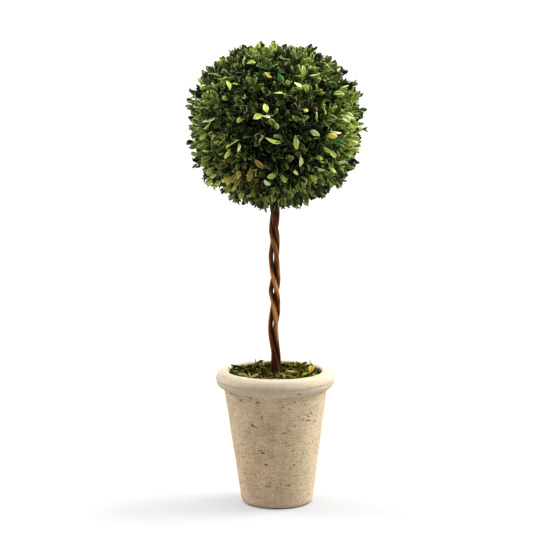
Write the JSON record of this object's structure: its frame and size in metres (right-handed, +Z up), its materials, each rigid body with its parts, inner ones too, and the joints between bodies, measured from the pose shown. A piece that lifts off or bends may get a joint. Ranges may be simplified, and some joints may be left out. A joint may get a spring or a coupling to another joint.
{
  "type": "preserved box topiary ball in pot",
  "caption": "Clipped ball of preserved box sprigs on a stem of twisted canes, set in a filled tapering clay pot with a rolled rim, under a cover of moss and dry leaves.",
  "frame": {"origin": "centre of the pot's flat underside, on the surface that it stands on", "axes": "+Z up along the pot's and the ball's axis, -Y towards the front that the picture shows, +X to the right"},
  "size_m": [0.258, 0.2565, 0.6654],
  "materials": {
    "pot_clay": "matte",
    "filling": "matte",
    "moss": "matte",
    "cane": "satin",
    "leaves": "satin"
  },
  "bodies": {
    "root": {"pot": "pot_clay", "pot_filling": "filling", "moss_cover": "moss", "stem_cane_1": "cane", "stem_cane_2": "cane", "stem_cane_3": "cane", "foliage_ball": "leaves"}
  },
  "joints": []
}
